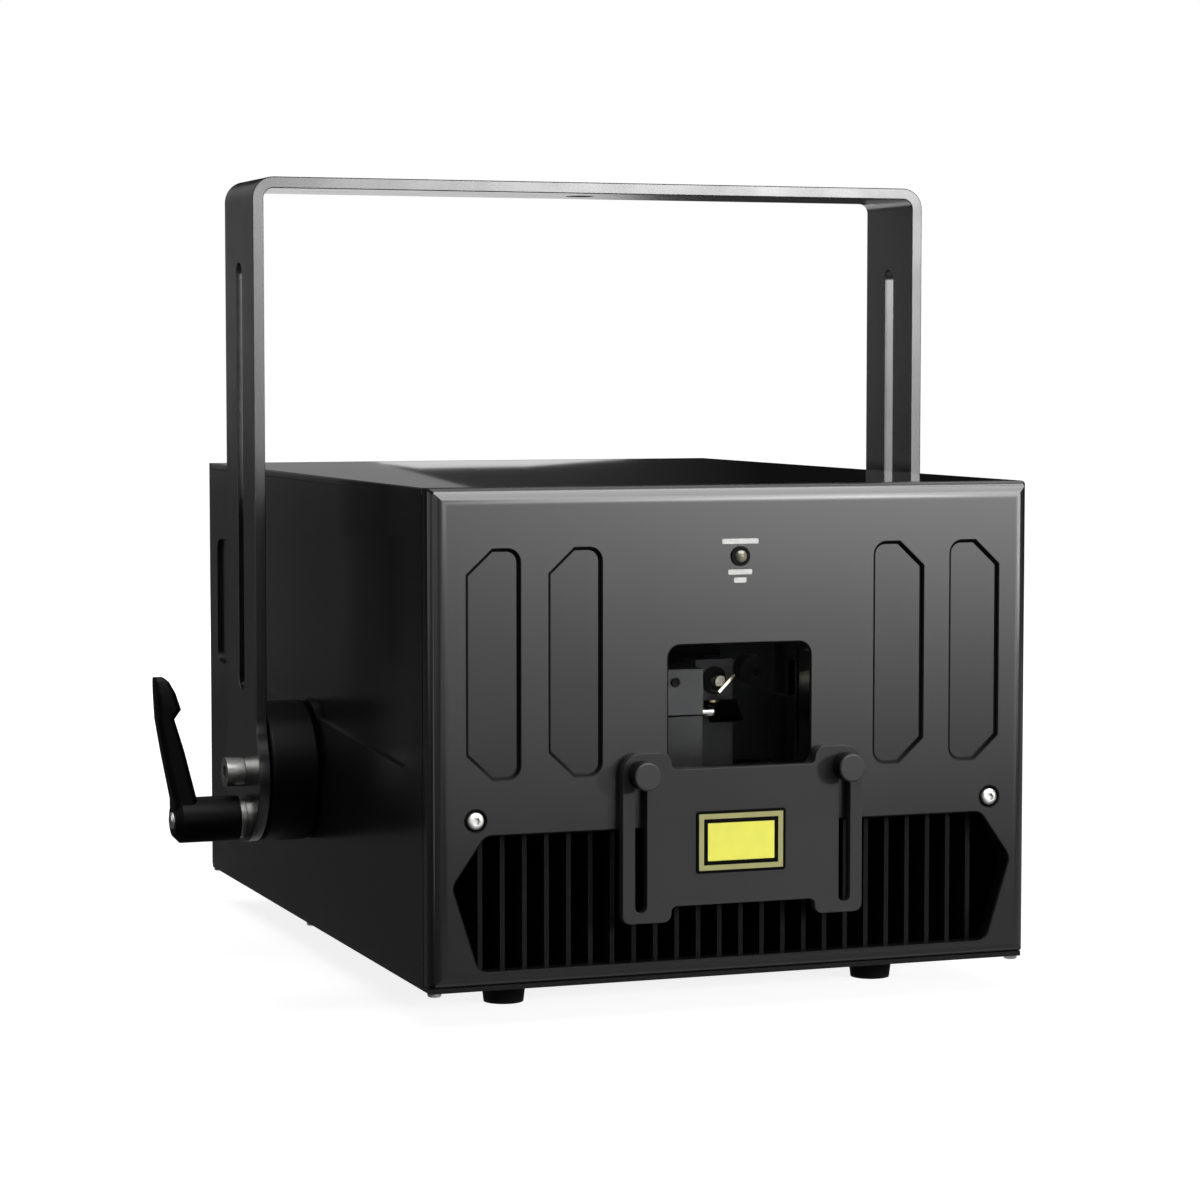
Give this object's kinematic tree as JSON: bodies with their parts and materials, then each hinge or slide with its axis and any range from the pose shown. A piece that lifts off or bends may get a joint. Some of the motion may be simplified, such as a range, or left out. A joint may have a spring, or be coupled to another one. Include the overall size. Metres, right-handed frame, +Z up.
{
  "type": "laser show projector",
  "caption": "Box-shaped laser show projector in a tilting flat-bar yoke with clamp levers, a sliding aperture mask, scanner mirrors, a finned heat sink and rear sockets.",
  "frame": {"origin": "on the surface that the feet stand on, under the middle of the whole part", "axes": "+X to the right as the front is seen, +Y from the front to the rear, +Z up"},
  "size_m": [0.397, 0.4178, 0.3432],
  "materials": {
    "housing": "satin black anodised",
    "yoke": "semi-gloss black powder coat",
    "black_plastic": "fine matt moulding",
    "rubber": "matt",
    "steel": "bright zinc plated",
    "heat_sink": "satin as extruded",
    "glass": "clear anti-reflection coated",
    "lamp": "clear domed lens",
    "scanner": "dark anodised, satin",
    "mirror": "polished coating",
    "laser_case": "satin anodised",
    "supply_case": "plain sheet",
    "board": "solder mask",
    "brass": "plain turned"
  },
  "bodies": {
    "housing": {"front_plate": "housing", "side_panel_left": "housing", "side_panel_right": "housing", "top_cover": "housing", "bottom_cover": "housing", "rear_panel": "housing", "aperture_clamp": "housing", "safety_eye": "yoke", "pivot_hubs": "black_plastic", "lamp_bezel": "black_plastic", "fan_frames": "black_plastic", "power_inlet": "black_plastic", "power_outlet": "black_plastic", "data_socket": "black_plastic", "interlock_socket": "black_plastic", "network_socket": "black_plastic", "key_switch": "black_plastic", "rubber_feet": "rubber", "aperture_gasket": "rubber", "foot_screws": "steel", "front_screws": "steel", "cover_screws": "steel", "eye_screws": "steel", "pivot_bolts": "steel", "signal_sockets": "steel", "finned_bench": "heat_sink", "aperture_glass": "glass", "lamp_lens": "lamp", "tilt_tower": "scanner", "tilt_cap": "scanner", "pan_tower": "scanner", "scan_motors": "scanner", "combiner_mounts": "scanner", "combiner_mirrors": "mirror", "laser_modules": "laser_case", "power_supply": "supply_case", "scan_driver_board": "board", "laser_driver_board": "board", "control_board": "board", "board_standoffs": "brass"},
    "yoke": {"yoke": "yoke", "clamp_nuts": "steel"},
    "clamp_left": {"clamp_insert_left": "steel", "lever_screw_left": "steel"},
    "clamp_right": {"clamp_insert_right": "steel", "lever_screw_right": "steel"},
    "lever_left": {"lever_handle_left": "black_plastic"},
    "lever_right": {"lever_handle_right": "black_plastic"},
    "mask": {"mask_plate": "housing"},
    "thumbscrew_left": {"thumbscrew_left": "black_plastic"},
    "thumbscrew_right": {"thumbscrew_right": "black_plastic"},
    "tilt_scanner": {"tilt_shaft": "steel", "tilt_mirror": "mirror"},
    "pan_scanner": {"pan_shaft": "steel", "pan_mirror": "mirror"},
    "fan_left": {"fan_rotor_left": "black_plastic"},
    "fan_right": {"fan_rotor_right": "black_plastic"},
    "key": {"key_barrel": "steel", "key": "steel"}
  },
  "joints": [
    {"name": "yoke_tilt", "type": "hinge", "parent": "housing", "child": "yoke", "pos_m": [0, -0.00505, 0.0828], "axis": [1, 0, 0], "range_deg": [-95, 95]},
    {"name": "clamp_turn_left", "type": "hinge", "parent": "yoke", "child": "clamp_left", "pos_m": [-0.1588, -0.00505, 0.0624], "axis": [-1, 0, 0], "range_deg": [0, 150]},
    {"name": "clamp_turn_right", "type": "hinge", "parent": "yoke", "child": "clamp_right", "pos_m": [0.1588, -0.00505, 0.0624], "axis": [1, 0, 0], "range_deg": [0, 150]},
    {"name": "lever_pull_left", "type": "slide", "parent": "clamp_left", "child": "lever_left", "axis": [-1, 0, 0], "range_m": [0, 0.0035], "stiffness_N_per_m": 1500},
    {"name": "lever_pull_right", "type": "slide", "parent": "clamp_right", "child": "lever_right", "axis": [1, 0, 0], "range_m": [0, 0.0035], "stiffness_N_per_m": 1500},
    {"name": "mask_slide", "type": "slide", "parent": "housing", "child": "mask", "axis": [0, 0, 1], "range_m": [0, 0.053]},
    {"name": "thumbscrew_turn_left", "type": "hinge", "parent": "housing", "child": "thumbscrew_left", "pos_m": [-0.0444, -0.19605, 0.0989], "axis": [0, -1, 0], "range_deg": [0, 360]},
    {"name": "thumbscrew_turn_right", "type": "hinge", "parent": "housing", "child": "thumbscrew_right", "pos_m": [0.0444, -0.19605, 0.0989], "axis": [0, -1, 0], "range_deg": [0, 360]},
    {"name": "tilt_scan", "type": "hinge", "parent": "housing", "child": "tilt_scanner", "pos_m": [0.012, -0.14805, 0.1175], "axis": [1, 0, 0], "range_deg": [-12.5, 12.5]},
    {"name": "pan_scan", "type": "hinge", "parent": "housing", "child": "pan_scanner", "pos_m": [0.012, -0.14805, 0.1295], "axis": [0, 1, 0], "range_deg": [-12.5, 12.5]},
    {"name": "fan_spin_left", "type": "hinge", "parent": "housing", "child": "fan_left", "pos_m": [-0.06, 0.158, 0.04565], "axis": [0, 1, 0], "continuous": true},
    {"name": "fan_spin_right", "type": "hinge", "parent": "housing", "child": "fan_right", "pos_m": [0.06, 0.158, 0.04565], "axis": [0, 1, 0], "continuous": true},
    {"name": "key_turn", "type": "hinge", "parent": "housing", "child": "key", "pos_m": [0.1, 0.17295, 0.12204], "axis": [0, -1, 0], "range_deg": [0, 90]}
  ]
}
